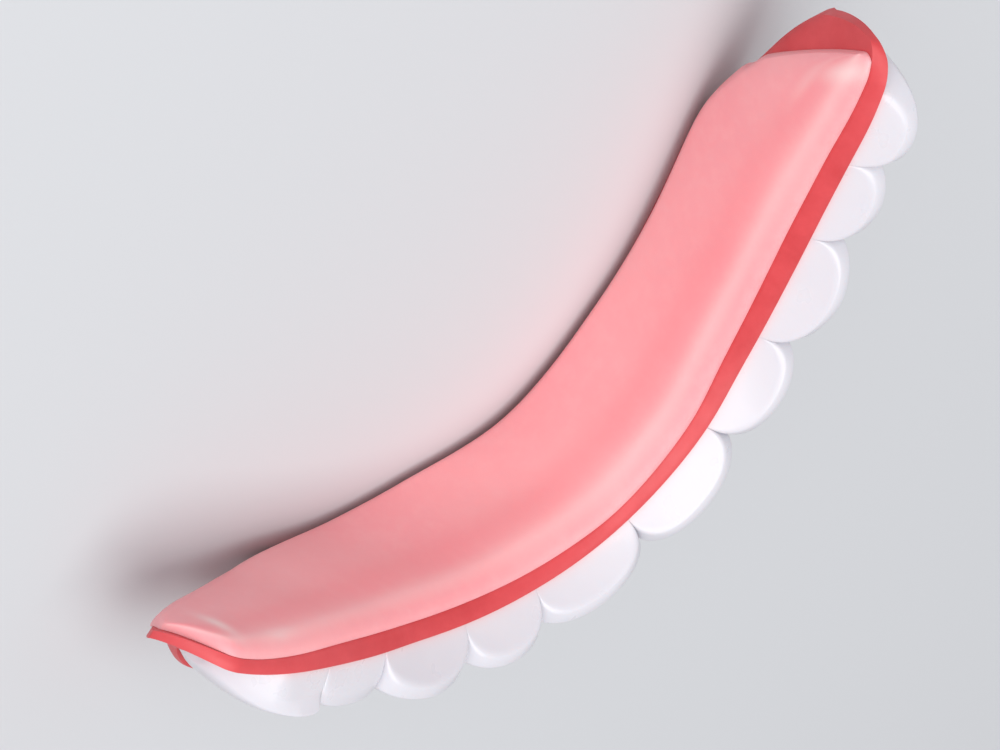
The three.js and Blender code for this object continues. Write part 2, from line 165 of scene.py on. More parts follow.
CENTRAL_WIDTH = 8.0  # width of a central incisor
TIP_RISE = 2.0  # incisal edge above the notches beside it
NOTCH_LIFT = 1.0  # rise of the line of notches towards the row's ends
CORNER_DEPTH = 1.1  # side corners behind the front, at the neck
TIP_CORNER_DEPTH = 0.35  # and at the incisal edge
TIP_CORNER_LIFT = 0.1  # the incisal edge starts this much above a notch
OUTER_CORNER_DEPTH = 1.35  # the two last crowns turn in further on their outer side
OUTER_TIP_DEPTH = 0.9
CROWN_BULGE = 1.0  # swelling of the front face at the neck
NECK_TUCK = 0.4  # how far the front draws in at the gum
NECK_SHARE = 0.3  # share of the height over which it does
EDGE_THICKNESS = 0.7  # thickness of the incisal edge
EDGE_ROUNDING = 0.4  # rounding between the incisal edge and the back face
BACK_HOLLOW = 1.2  # power above 1: the back face hollows towards the rim
SHOULDER_DROP = 0.1  # the back face ends at least this far below the incisal edge
LEAST_FACE = 0.15  # least depth of the back face
CORNER_POWER = 2.6  # how suddenly a side corner turns back
OUTER_CORNER_POWER = 2.0

GROOVE_HEIGHT = 2.4  # floor of the groove that the crowns seat in
FLOOR_THICKNESS = 1.4
RIM_SET_BACK = 2.42  # from the line of the incisal edges back to the front of the rim
RIM_DEPTH = 0.72  # width of the red rim, which is the back wall's top edge
RIM_CROWNING = 0.10
FLANGE_SET_BACK = 0.3  # of the gum edge at the foot
FLANGE_THICKNESS = 1.0
WALL_CURVE = 0.6  # power below 1: the back wall bulges backwards on its way up
MARGIN_HEIGHT = 3.4  # of the gum lip in front of a crown's middle
PAPILLA_RISE = 2.9  # how much higher the lip climbs between two crowns
LIP_THICKNESS = 0.5
THIN_LIP = 0.1  # the lip thins to this beside the outer side of the last crowns
LEAST_LIP = 0.15  # least height of the lip above the groove's floor
LEAST_CROWN = 1.6  # least height of a crown that shows above the lip
PAPILLA_DEPTH = 0.35
ROOT_BULGE = 0.35
RIGHT_MARGIN = 2.15  # tray beyond the last crown at -X
LEFT_MARGIN = 4.5
END_ROUND = 2.7  # radius of the rounding of both ends, along the arch
END_WALL = 0.85  # thickness of the end wall beside the last crown
END_EDGE = 0.5  # and at its tip
END_FLARE = 0.45
END_THINNING = 0.15  # share of the end over which the section thins to the wall
RIGHT_END_HEIGHT = 9.7  # where the end's tip lies
LEFT_END_HEIGHT = 6.5

PAD_THICKNESS = 1.3
PAD_EDGE = 1.0  # its thickness at the lower edge
PAD_ROLL = 1.4  # extra thickness there where more of it was left
RIGHT_PAD_MARGIN = 0.9  # the pad ends this far short of the tray at -X
LEFT_PAD_MARGIN = 0.6
PAD_END_ROUND = 1.4
PAD_TAPER = 6.0  # length over which the pad thins towards its two ends
PAD_SLANT = 0.75  # slant of its -X end, furthest at the rim: mm along for each mm up
PAD_SLANT_LENGTH = 9.0
PAD_CROWNING = 0.4  # share of its height over which it swells below the rim
PAD_EDGE_SHARE = 0.06  # share over which the lower edge rounds off
PAD_END_SHARE = 0.35  # its thickness at the two ends, as a share
PAD_WAVE = 0.05  # height of the hand-made unevenness
PAD_WAVE_ALONG = 0.55  # radians for each mm along the arch
PAD_WAVE_UP = 1.3 / 3  # and for each mm up

# name: width as a share of CENTRAL_WIDTH, rise as a share of TIP_RISE, power of the dome, drop
CROWNS = {
    "second_premolar_right": (0.812, 1.33, 1.9, 0.2),
    "first_premolar_right": (0.755, 0.85, 1.8, 0),
    "canine_right": (0.975, 1.06, 1.7, 0),
    "lateral_incisor_right": (0.875, 0.95, 2.0, 0),
    "central_incisor_right": (1.03, 0.98, 2.1, 0),
    "central_incisor_left": (1.069, 0.88, 2.1, 0),
    "lateral_incisor_left": (0.834, 0.92, 2.0, 0),
    "canine_left": (1.006, 0.94, 1.7, 0),
    "first_premolar_left": (0.756, 0.36, 2.1, 0),
    "second_premolar_left": (0.9, 1.1, 1.9, 0.38),
}
# at: place as a share of the tray's half, -X below 0. rim and back: the rim's front and back edges
# above the notches, foot and pad: the lower edges, all as shares of NOTCH_HEIGHT. fat: share of
# PAD_ROLL. flare: share of END_FLARE.
EDGE_COLUMNS = ("at", "rim", "back", "foot", "pad", "fat", "flare")
EDGES = np.array([
    (-1.0, 0.075, 0.01, 0.64, 0.56, 0, 1),
    (-0.88, 0.082, -0.003, 0.355, 0.325, 0, 0.4),
    (-0.79, 0.052, -0.049, 0.24, 0.21, 0, 0),
    (-0.674, 0.014, -0.087, 0.05, 0.05, 0, 0),
    (-0.596, -0.002, -0.107, 0, 0.045, 0, 0),
    (-0.466, -0.018, -0.114, 0, 0.045, 0, 0),
    (-0.337, -0.022, -0.107, 0, 0.03, 0, 0),
    (-0.22, 0, -0.067, 0, 0.027, 0.3, 0),
    (0.0, -0.013, -0.063, 0, 0.028, 0.2, 0),
    (0.12, -0.02, -0.083, 0, 0.02, 0.7, 0),
    (0.22, -0.024, -0.093, 0, 0.02, 1, 0),
    (0.34, -0.021, -0.1, 0, 0.02, 0.55, 0),
    (0.48, -0.016, -0.093, 0, 0.05, 0.05, 0),
    (0.6, 0.016, -0.07, 0.07, 0.115, 0, 0),
    (0.697, 0.034, -0.045, 0.22, 0.187, 0, 0.1),
    (0.793, 0.046, -0.012, 0.325, 0.285, 0, 0.45),
    (0.9, 0.027, -0.005, 0.42, 0.39, 0, 0.85),
    (1.0, -0.009, -0.047, 0.56, 0.555, 0, 0.6),
])

crown_names = list(CROWNS)
crown_table = np.array(list(CROWNS.values())).T
widths = crown_table[0] * CENTRAL_WIDTH
middle_index = len(CROWNS) // 2
right_row = widths[:middle_index].sum()
left_row = widths[middle_index:].sum()
crown_starts = np.concatenate([[0], np.cumsum(widths)[:-1]]) - right_row
right_end = right_row + RIGHT_MARGIN
left_end = left_row + LEFT_MARGIN
print("row", round(right_row + left_row, 1), "mm, tray", round(right_end + left_end, 1), "mm")

# %% [markdown]
# ## The arch
# The row follows a parabola, as the textbook shape of a dental arch does. A point is found by walking
# along the parabola, stepping outwards square to it and then up. Blender could bend a straight row
# with a curve modifier, but that would stretch the crowns, so the points are worked out directly.

# %% Curves along the arch
CURVE_BLUR = 0.035  # share of the tray's half over which the tables' curves are smoothed
CURVE_SAMPLES = 2001
CURVE_REACH = 90  # samples on either side that the average takes in
NEWTON_STEPS = 12


def smooth_column(name):
    """A curve through one column of EDGES: between two rows a cubic whose slope at each row is the
    harmonic mean of the straight slopes on either side, so it never overshoots. The curve is then
    averaged with bell-shaped weights, exp(-d^2 / 2), d in CURVE_BLUR, to take the last bends out."""
    at = EDGES[:, 0]
    value = EDGES[:, EDGE_COLUMNS.index(name)]
    slope = np.diff(value) / np.diff(at)
    tangent = np.empty_like(value)
    tangent[0], tangent[-1] = slope[0], slope[-1]
    before, after = slope[:-1], slope[1:]
    same_way = before * after > 0
    tangent[1:-1] = np.where(same_way, 2 * before * after / np.where(same_way, before + after, 1), 0)

    share = np.linspace(-1, 1, CURVE_SAMPLES)
    i = np.clip(np.searchsorted(at, share, side="right") - 1, 0, len(at) - 2)
    h = at[i + 1] - at[i]
    t = (share - at[i]) / h
    cubic = (value[i] + (value[i + 1] - value[i]) * (3 * t**2 - 2 * t**3)
             + h * tangent[i] * (t - 2 * t**2 + t**3) + h * tangent[i + 1] * (t**3 - t**2))
    away = np.arange(-CURVE_REACH, CURVE_REACH + 1) * (share[1] - share[0])
    weights = np.exp(-0.5 * (away / CURVE_BLUR) ** 2)
    extended = np.pad(cubic, CURVE_REACH, mode="reflect", reflect_type="odd")
    blurred = np.convolve(extended, weights / weights.sum(), mode="valid")
    return lambda s: np.interp(np.where(s < 0, s / right_end, s / left_end), share, blurred)


edge = {name: smooth_column(name) for name in EDGE_COLUMNS[1:]}
bend = ARCH_DEPTH / (ARCH_SPAN / 2) ** 2


def arch_x(s):
    """x where the parabola y = -bend x^2 has length s from its middle, by Newton's rule."""
    x = 0.8 * s  # a near enough first guess
    for _ in range(NEWTON_STEPS):
        k = 2 * bend * x
        length = (k * np.sqrt(1 + k**2) + np.arcsinh(k)) / (4 * bend)
        x = x - (length - s) / np.sqrt(1 + k**2)
    return x


def on_arch(s, o, z):
    """Points in metres: along the parabola by s, outwards by o plus the flare there, up by z."""
    s, o, z = np.broadcast_arrays(s, o, z)
    x = arch_x(s)
    k = 2 * bend * x
    norm = np.sqrt(1 + k**2)
    out = o + END_FLARE * edge["flare"](s)
    points = np.stack([x + out * k / norm + ARCH_MIDDLE[0],
                       -bend * x**2 + out / norm + ARCH_MIDDLE[1], z], axis=-1)
    return points * MM


def lerp(a, b, t):
    """From a at t = 0 to b at t = 1."""
    return a + (b - a) * t


def smooth(t):
    """3t^2 - 2t^3, held between 0 and 1."""
    t = np.clip(t, 0, 1)
    return t * t * (3 - 2 * t)


def end_round(s, length, radius=END_ROUND):
    """1 along the tray, then a quarter circle down to 0 over the last radius of that length."""
    along = (np.abs(s) - (length - radius)) / radius
    return np.sqrt(np.clip(1 - np.clip(along, 0, 1) ** 2, 0, 1))


def close_in(s, height, short_by=0.0, radius=END_ROUND):
    """A height that closes to the end's own height in a half round, so both ends are rounded."""
    length = np.where(s < 0, right_end, left_end) - short_by
    middle = np.where(s < 0, RIGHT_END_HEIGHT, LEFT_END_HEIGHT)
    return middle + (height - middle) * end_round(s, length, radius)


back_line = lambda s: NOTCH_HEIGHT * (1 + edge["back"](s))
foot_line = lambda s: NOTCH_HEIGHT * edge["foot"](s)
rim_front = lambda s: close_in(s, NOTCH_HEIGHT * (1 + edge["rim"](s)))
rim_back = lambda s: close_in(s, back_line(s))
foot = lambda s: close_in(s, foot_line(s))
groove_floor = lambda s: np.maximum(GROOVE_HEIGHT, foot(s) + FLOOR_THICKNESS)


def wall_back(s, z):
    """Offset of the tray's back face: from the flange's foot up to the rim, along up^0.6."""
    up = np.clip((z - foot_line(s)) / (back_line(s) - foot_line(s)), 0, 1)
    return -lerp(FLANGE_SET_BACK + FLANGE_THICKNESS, RIM_SET_BACK + RIM_DEPTH, up**WALL_CURVE)


groove_back = lambda s, z: wall_back(s, z) + RIM_DEPTH
print("rim height at the middle:", round(float(rim_front(np.float64(0))), 2), "mm")

# %% Put a grid of points into a mesh
def closed_loft(name, rings, sharp_angle=50.0):
    """A closed body through rings of equally many points. Face (r, i) joins point i and i + 1 of
    ring r to those of ring r + 1, and a fan round the middle of the first and the last ring closes
    it."""
    count, around = rings.shape[:2]
    centres = rings[[0, -1]].mean(axis=1)
    points = np.concatenate([rings.reshape(-1, 3), centres])
    r, i = np.meshgrid(np.arange(count - 1), np.arange(around), indexing="ij")
    a = r * around + i
    b = r * around + (i + 1) % around
    walls = np.stack([a, b, b + around, a + around], axis=-1).reshape(-1, 4)
    i = np.arange(around)
    nxt = (i + 1) % around
    last = (count - 1) * around
    first_cap = np.stack([np.full(around, len(points) - 2), nxt, i], axis=-1)
    last_cap = np.stack([np.full(around, len(points) - 1), last + i, last + nxt], axis=-1)
    mesh = bpy.data.meshes.new(name)
    mesh.from_pydata(points.tolist(), [], walls.tolist() + first_cap.tolist() + last_cap.tolist())
    mesh.polygons.foreach_set("use_smooth", np.ones(len(mesh.polygons), bool))
    mesh.set_sharp_from_angle(angle=math.radians(sharp_angle))
    mesh.validate()
    piece = bpy.data.objects.new(name, mesh)
    bpy.context.scene.collection.objects.link(piece)
    return piece


def piece_like(piece, nodes, material):
    """Gives a new piece its material and its body, and lets it stand for CAD nodes."""
    piece.data.materials.append(material)
    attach(piece, "root")
    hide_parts(*nodes)
    low = np.array([corner[:] for corner in piece.bound_box]).min(0) * 1000
    high = np.array([corner[:] for corner in piece.bound_box]).max(0) * 1000
    print(f"{piece.name}: {len(piece.data.vertices)} points, {low.round(1)} to {high.round(1)} mm")
    return piece


# %% [markdown]
# ## Shape of a crown
# A crown seen from the front is a dome on a straight neck. Its front face swells, tucks in at the
# gum and turns back at the two corners, and behind the thin incisal edge it slopes down to the rim.
# Sculpting ten of them would take long and would not keep their widths, so one formula with a row
# of numbers for each crown makes them all.

# %% Crown formulas
FRONT_POINTS = 26
FACE_POINTS = 30
BACK_POINTS = 10
SIDE_PLACES = 49


def notch_height(s):
    """Height of the line of notches: it lifts by NOTCH_LIFT towards the ends, as a cubic."""
    row = np.where(s < 0, right_row, left_row)
    return NOTCH_HEIGHT + NOTCH_LIFT * np.minimum(1, np.abs(s) / row) ** 3


def crown_place(index, side):
    """Arc length of a place on a crown: side runs from -1 at its -X side to 1 at its +X side."""
    width = widths[index] - TOOTH_HAIRLINE
    return crown_starts[index] + TOOTH_HAIRLINE / 2 + width * (1 + side) / 2


last_index = len(CROWNS) - 1


def is_outer(index, side):
    """True on the outer halves of the two last crowns, which have no neighbour there."""
    return ((index == 0) & (side < 0)) | ((index == last_index) & (side > 0))


def crown_tip(index, side):
    """Height of the incisal edge: the notch line plus a dome sqrt(1 - |side|^point)."""
    _, rise, point, drop = crown_table[:, index]
    outward = np.where(index < middle_index, 1 - side, 1 + side) / 2
    dome = np.sqrt(np.clip(1 - np.abs(side) ** point, 0, 1))
    notch = notch_height(crown_place(index, side)) + TIP_CORNER_LIFT
    return notch - drop * NOTCH_HEIGHT * outward + (rise * TIP_RISE - TIP_CORNER_LIFT) * dome


def crown_front(index, side, z):
    """Offset of the front face: a quarter ellipse up to the tip, less the tuck at the neck and the
    turn at the corners, which is |side|^2.6, or |side|^2 on an outer half."""
    neck = groove_floor(crown_place(index, side))
    up = np.clip((z - neck) / (crown_tip(index, side) - neck), 0, 1)
    tuck = NECK_TUCK * np.clip(1 - up / NECK_SHARE, 0, 1) ** 2
    outer = is_outer(index, side)
    at_neck = np.where(outer, OUTER_CORNER_DEPTH, CORNER_DEPTH)
    at_tip = np.where(outer, OUTER_TIP_DEPTH, TIP_CORNER_DEPTH)
    power = np.where(outer, OUTER_CORNER_POWER, CORNER_POWER)
    corner = lerp(at_neck, at_tip, up**2) * np.abs(side) ** power
    return CROWN_BULGE * np.sqrt(1 - up**2) - tuck - corner


def soft_min(a, b, radius):
    """The smaller of two heights, with the corner between them rounded by a parabola."""
    part = np.clip(0.5 + 0.5 * (b - a) / radius, 0, 1)
    return lerp(b, a, part) - radius * part * (1 - part)


def rim_corner(index, side):
    """Offset and height of the line where a crown's back face meets the rim."""
    s = crown_place(index, side)
    shoulder = np.minimum(rim_front(s) - HAIRLINE, crown_tip(index, side) - SHOULDER_DROP)
    return groove_back(s, shoulder) + HAIRLINE, shoulder


def crown_profile(index, side):
    """Closed profile (o, z) at each side place: up the front, over the edge, down the back face as
    share^1.2 of the crown's rise, cut off softly at the edge, and down the groove's wall."""
    s = crown_place(index, side)
    neck = groove_floor(s) + HAIRLINE
    tip = crown_tip(index, side)
    rim_side, shoulder = rim_corner(index, side)
    up = np.sin(np.linspace(0, np.pi / 2, FRONT_POINTS))[None, :]
    front_z = lerp(neck, tip, up)
    front = np.stack([crown_front(index, side, front_z), front_z], -1)
    tip_front = crown_front(index, side, tip)
    tip_back = np.maximum(tip_front - EDGE_THICKNESS, rim_side + LEAST_FACE)
    behind = lambda z: groove_back(s, z) + HAIRLINE
    slope_o = lerp(tip_back, rim_side, np.linspace(0, 1, FACE_POINTS)[None, :])
    along = np.clip((slope_o - rim_side) / (-EDGE_THICKNESS - rim_side), 0, None)
    face = shoulder + (crown_tip(index, 0 * side) - shoulder) * along**BACK_HOLLOW
    slope = np.stack([slope_o, soft_min(tip, face, EDGE_ROUNDING)], -1)
    down = np.linspace(0, 1, BACK_POINTS)[None, 1:]
    back_z = lerp(shoulder, neck, down)
    back = np.stack([behind(back_z), back_z], -1)
    return np.concatenate([front, slope, back], axis=1)


side_steps = np.sin(np.linspace(-np.pi / 2, np.pi / 2, SIDE_PLACES))[:, None]
sample = crown_profile(4, side_steps)
print("central incisor:", round(float(sample[..., 1].max()), 2), "mm to its edge")

# %% [markdown]
# ## Tooth acrylic
# Denture teeth are cast from a milky acrylic that lets a little light in, with a smooth gloss. White
# paint would look like china. A little scattering under the surface, faint clouding, a clearer blue
# edge and a painted pink glow next to the gum, which stands in for the gum's red light shining in,
# make it read as a tooth.

# %% Noise and mixing helpers
def noise(nodes, links, coordinates, scale, detail=3.0, roughness=0.5):
    """A noise texture on object coordinates, scale in waves for each metre."""
    texture = nodes.new("ShaderNodeTexNoise")
    texture.inputs["Scale"].default_value = scale
    texture.inputs["Detail"].default_value = detail
    texture.inputs["Roughness"].default_value = roughness
    links.new(coordinates, texture.inputs["Vector"])
    return texture.outputs["Fac"]


def spread(nodes, links, value, from_low, from_high, to_low, to_high):
    """Maps a range of values onto another and holds the ends."""
    node = nodes.new("ShaderNodeMapRange")
    for socket, number in zip(("From Min", "From Max", "To Min", "To Max"),
                              (from_low, from_high, to_low, to_high)):
        node.inputs[socket].default_value = number
    links.new(value, node.inputs["Value"])
    return node.outputs["Result"]


def blend_colour(nodes, links, factor, first, second):
    """Mixes two colours, each a triple or another node's output, by a factor."""
    node = nodes.new("ShaderNodeMix")
    node.data_type = "RGBA"
    links.new(factor, node.inputs["Factor"])
    for socket, colour in zip((node.inputs[6], node.inputs[7]), (first, second)):
        if isinstance(colour, tuple):
            socket.default_value = (*colour, 1.0)
        else:
            links.new(colour, socket)
    return node.outputs[2]


def bumped(nodes, links, shader, height, strength, distance):
    """Raises the surface by a height, through the shader's normal."""
    node = nodes.new("ShaderNodeBump")
    node.inputs["Strength"].default_value = strength
    node.inputs["Distance"].default_value = distance
    links.new(height, node.inputs["Height"])
    links.new(node.outputs["Normal"], shader.inputs["Normal"])


def object_places(nodes):
    """Object coordinates."""
    return nodes.new("ShaderNodeTexCoord").outputs["Object"]


def painted(nodes, name):
    """A value painted on the mesh's points."""
    node = nodes.new("ShaderNodeAttribute")
    node.attribute_name = name
    return node.outputs["Fac"]


# %% Mix the tooth acrylic
def tooth_acrylic():
    """Milky white, clouded, bluer at the incisal edge and with a painted glow of the gum's red light
    next to the gum.
    """
    material = plain_material("tooth_acrylic", (0.90, 0.86, 0.90), 0.25)
    nodes, links = material.node_tree.nodes, material.node_tree.links
    shader = nodes["Principled BSDF"]
    places = object_places(nodes)
    clouds = spread(nodes, links, noise(nodes, links, places, 260.0), 0.3, 0.7, 0.0, 1.0)
    body = blend_colour(nodes, links, clouds, (0.70, 0.665, 0.70), (0.675, 0.645, 0.685))
    edge_tint = blend_colour(nodes, links, painted(nodes, "near_edge"), body, (0.65, 0.64, 0.69))
    # painted glow: a pink tint next to the gum stands in for the gum's red light shining into the crown
    gum_glow_tint = blend_colour(nodes, links, painted(nodes, "gum_light_glow"), edge_tint, (0.86, 0.50, 0.50))
    links.new(gum_glow_tint, shader.inputs["Base Color"])
    gloss = spread(nodes, links, noise(nodes, links, places, 500.0), 0.3, 0.7, 0.26, 0.34)
    links.new(gloss, shader.inputs["Roughness"])
    shader.inputs["Subsurface Weight"].default_value = 0.25
    shader.inputs["Subsurface Radius"].default_value = (1.0, 0.7, 0.6)
    shader.inputs["Subsurface Scale"].default_value = 0.0008
    shader.inputs["IOR"].default_value = 1.49
    shader.inputs["Coat Weight"].default_value = 0.25
    shader.inputs["Coat Roughness"].default_value = 0.12
    bumped(nodes, links, shader, noise(nodes, links, places, 380.0, 2.0), 0.08, 0.00006)
    return material


tooth_material = tooth_acrylic()
print("tooth acrylic:", len(tooth_material.node_tree.nodes), "nodes")

# %% Cast the ten crowns
def paint(piece, name, values):
    """Stores one number for each point of a piece."""
    layer = piece.data.attributes.new(name, "FLOAT", "POINT")
    layer.data.foreach_set("value", np.clip(values, 0, 1).astype(np.float32))


GUM_GLOW = 0.24  # mm over which the painted glow of the gum's red light fades from the root of a crown
EDGE_GLOW = 0.7  # and the incisal edge's colour below the edge
PAINT_SHARE = 0.8  # strength of both at their strongest
CAP_MIDDLES = [0, 0]  # the two points in the middle of the caps are left unpainted

for index, name in enumerate(crown_names):
    profile = crown_profile(index, side_steps)
    s = crown_place(index, side_steps)
    crown = closed_loft(f"{name}_crown", on_arch(s, profile[..., 0], profile[..., 1]))
    rim_side, shoulder = rim_corner(index, side_steps)
    from_rim = np.hypot(profile[..., 0] - rim_side, profile[..., 1] - shoulder)
    under_tip = crown_tip(index, side_steps) - profile[..., 1]
    # painted glow of the gum's light, strongest at the rim and fading with the distance from it
    gum_light_glow = np.exp(-from_rim / GUM_GLOW)
    near_edge = np.exp(-np.clip(under_tip, 0, None) / EDGE_GLOW)
    paint(crown, "gum_light_glow", np.append(PAINT_SHARE * gum_light_glow.ravel(), CAP_MIDDLES))
    paint(crown, "near_edge", np.append(PAINT_SHARE * near_edge.ravel(), CAP_MIDDLES))
    piece_like(crown, [name], tooth_material)

# %% [markdown]
# ## The gum tray
# The tray is one moulding: a back wall whose top edge is the red rim of the photo, a groove that the
# crowns are bonded into, and a scalloped lip in front of them that climbs between every two crowns.
# It could be cut out of a block with booleans, but those leave ragged edges on a curved part, so its
# closed section is carried along the arch and changes with the crown that it passes.

# %% Tray formulas
TRAY_FRONT_POINTS = 25
TRAY_LIP_POINTS = 5
TRAY_WALL_POINTS = 8
TRAY_RIM_POINTS = 9
TRAY_BACK_POINTS = 22
TRAY_PLACES = 25  # sections beside each crown
TRAY_END_PLACES = 44  # and beyond the last crown
WALL_SHARE = 0.94  # the groove's wall gets points up to this share, and then the rim's edge


def gum_front(s, index, side, z, margin):
    """Offset of the front: a quarter sine from the flange's foot to the lip over the crown, plus a
    swelling over each root."""
    up = np.clip((z - foot(s)) / (margin - foot(s)), 0, 1)
    outer = is_outer(index, side)
    aside = np.abs(side)
    drawn_in = np.where(outer, OUTER_CORNER_DEPTH * aside**OUTER_CORNER_POWER,
                        PAPILLA_DEPTH * aside**CORNER_POWER)
    lip = np.where(outer, lerp(LIP_THICKNESS, THIN_LIP, smooth(aside)), LIP_THICKNESS)
    top = crown_front(index, 0 * side, margin) + lip - drawn_in
    root = ROOT_BULGE * (1 - side**2) * np.sin(np.pi * up)
    return lerp(-FLANGE_SET_BACK, top, np.sin(up * np.pi / 2)) + root


def tray_profile(index, side, s=None, beyond=None):
    """Closed profile (o, z) of the tray. Beside a crown it holds the groove; beyond the last crowns
    the groove is gone and the section thins to the end wall."""
    s = crown_place(index, side) if s is None else s
    low, rim, floor_z = foot(s), rim_front(s), groove_floor(s)
    outer = is_outer(index, side)
    papilla = np.where(outer, 0, PAPILLA_RISE * side**2)
    lifted = floor_z + MARGIN_HEIGHT - GROOVE_HEIGHT + papilla
    raised = np.minimum(np.minimum(lifted, crown_tip(index, side) - LEAST_CROWN), rim)
    lip_top = lerp(raised, floor_z + LEAST_LIP, np.where(outer, 1 - (1 - np.abs(side)) ** 2, 0))
    margin = lip_top if beyond is None else lerp(lip_top, rim, smooth(beyond))
    front_z = lerp(low, margin, np.linspace(0, 1, TRAY_FRONT_POINTS)[None, :])
    front_o = gum_front(s, index, side, front_z, margin)
    rim_depth = RIM_DEPTH
    if beyond is not None:
        wall = lerp(END_WALL, END_EDGE, beyond**2)
        rim_depth = np.minimum(RIM_DEPTH, wall)
        front_o = lerp(front_o, wall_back(s, front_z) + wall, smooth(beyond / END_THINNING))
    front = np.stack([front_o, front_z], -1)
    rim_edge = np.stack([wall_back(s, rim_back(s)) + rim_depth, rim], -1)
    lip_edge = front[:, -1:]
    if beyond is None:
        lip_z = lerp(margin, floor_z, np.linspace(0, 1, TRAY_LIP_POINTS)[None, :])
        lip = np.stack([crown_front(index, side, lip_z) + HAIRLINE, lip_z], -1)
        wall_z = lerp(floor_z, rim, np.linspace(0, WALL_SHARE, TRAY_WALL_POINTS)[None, :])
        inside = np.concatenate([lip, np.stack([groove_back(s, wall_z), wall_z], -1)], 1)
    else:
        over = np.linspace(0, 1, TRAY_LIP_POINTS + TRAY_WALL_POINTS + 2)[1:-1]
        inside = lerp(lip_edge, rim_edge, over[None, :, None])
    rim_back_edge = np.stack([wall_back(s, rim_back(s)), rim_back(s)], -1)
    across = np.linspace(0, 1, TRAY_RIM_POINTS)[None, 1:-1, None]
    crowned = lerp(rim_edge, rim_back_edge, across)
    crowned[..., 1] += RIM_CROWNING * np.sin(np.pi * across[..., 0])
    back_z = lerp(rim_back(s), low, np.linspace(0, 1, TRAY_BACK_POINTS)[None, 1:])
    back = np.stack([wall_back(s, back_z), back_z], -1)
    return np.concatenate([front, inside, rim_edge, crowned, rim_back_edge, back], axis=1)


tray_sides = np.linspace(-1, 1, TRAY_PLACES)[:, None]
end_steps = np.sin(np.linspace(0.01, np.pi / 2 - 0.02, TRAY_END_PLACES))[:, None]
print("tray sections:", len(CROWNS) * TRAY_PLACES + 2 * TRAY_END_PLACES)

# %% [markdown]
# ## Gum acrylic
# The gum of such teeth is a red-pink acrylic, coloured right through. The photo shows it smooth and
# evenly lit, a little darker where it turns down. Red fibres are often mixed in, so a fine mottling
# and a slightly uneven gloss keep it from looking like paint.

# %% Mix the gum acrylic
def gum_acrylic():
    """Red-pink with a fine mottling, a slow drift in tone and a slightly uneven gloss."""
    material = plain_material("gum_acrylic", (0.74, 0.10, 0.115), 0.35)
    nodes, links = material.node_tree.nodes, material.node_tree.links
    shader = nodes["Principled BSDF"]
    places = object_places(nodes)
    mottle = spread(nodes, links, noise(nodes, links, places, 420.0, 5.0, 0.6), 0.3, 0.7, 0.0, 1.0)
    body = blend_colour(nodes, links, mottle, (0.56, 0.042, 0.048), (0.66, 0.066, 0.074))
    drift = spread(nodes, links, noise(nodes, links, places, 60.0, 1.0), 0.35, 0.65, 0.0, 0.5)
    links.new(blend_colour(nodes, links, drift, body, (0.70, 0.08, 0.09)), shader.inputs["Base Color"])
    gloss = spread(nodes, links, noise(nodes, links, places, 700.0), 0.3, 0.7, 0.40, 0.54)
    links.new(gloss, shader.inputs["Roughness"])
    shader.inputs["Subsurface Weight"].default_value = 0.15
    shader.inputs["Subsurface Radius"].default_value = (1.0, 0.3, 0.25)
    shader.inputs["Subsurface Scale"].default_value = 0.0008
    shader.inputs["IOR"].default_value = 1.49
    bumped(nodes, links, shader, noise(nodes, links, places, 1100.0, 4.0), 0.2, 0.0001)
    return material


gum_material = gum_acrylic()
print("gum acrylic:", len(gum_material.node_tree.nodes), "nodes")

# %% Mould the tray
stretches = []
right_s = lerp(-right_row, -right_end, end_steps)
left_s = lerp(left_row, left_end, end_steps)
first = np.full_like(right_s, 0, dtype=int)
last = np.full_like(left_s, last_index, dtype=int)
right_part = tray_profile(first, np.full_like(right_s, -1.0), right_s, end_steps)
stretches.append((right_s[::-1], right_part[::-1]))
for index in range(len(CROWNS)):
    station = np.full(tray_sides.shape, index)
    stretches.append((crown_place(station, tray_sides), tray_profile(station, tray_sides)))
stretches.append((left_s, tray_profile(last, np.full_like(left_s, 1.0), left_s, end_steps)))
tray_s = np.concatenate([s for s, _ in stretches])
tray_points = np.concatenate([profile for _, profile in stretches])
tray = closed_loft("gum_tray_moulding", on_arch(tray_s, tray_points[..., 0], tray_points[..., 1]))
piece_like(tray, ["gum_tray"], gum_material)

# %% [markdown]
# ## The fitting pad
# The pad is a soft liner, pressed by hand against the back of the tray and smoothed over, so its
# upper edge rounds over beside the rim, its face is gently crowned and its lower edge rolls over
# where more of it was left. It is moulded, not stuffed or sewn, so a cloth simulation would give the
# wrong folds: its section is worked out and carried along the arch, and small hand-made unevenness
# is added as long, low waves.

# %% Pad formulas
PAD_LENGTHS = 260
PAD_LEVELS = 46
PAD_BACK_LEVELS = 14
PAD_END_STOP = 0.993  # the outermost rings stop just short of the ends, where the height is nothing
STRIP = (0.15, 0.06)  # a low ridge under the rim, which also gets the painted highlight: its middle and width, shares of the height
VALLEY_BAND = (0.36, 0.13)  # and a shallow valley beyond it, which also gets painted shade
RIDGE = 0.05  # height of the one and depth of the other, mm
VALLEY = 0.05


def bell(value, middle, width):
    """exp(-((value - middle) / width)^2)"""
    return np.exp(-(((value - middle) / width) ** 2))


def slanted(s, z):
    """Arc length of a pad point: near the -X end it moves outwards by PAD_SLANT for each mm that it
    lies above the end's own height."""
    beyond = 1 - (right_end - RIGHT_PAD_MARGIN + s) / PAD_SLANT_LENGTH
    return s - PAD_SLANT * smooth(beyond) * (z - RIGHT_END_HEIGHT)


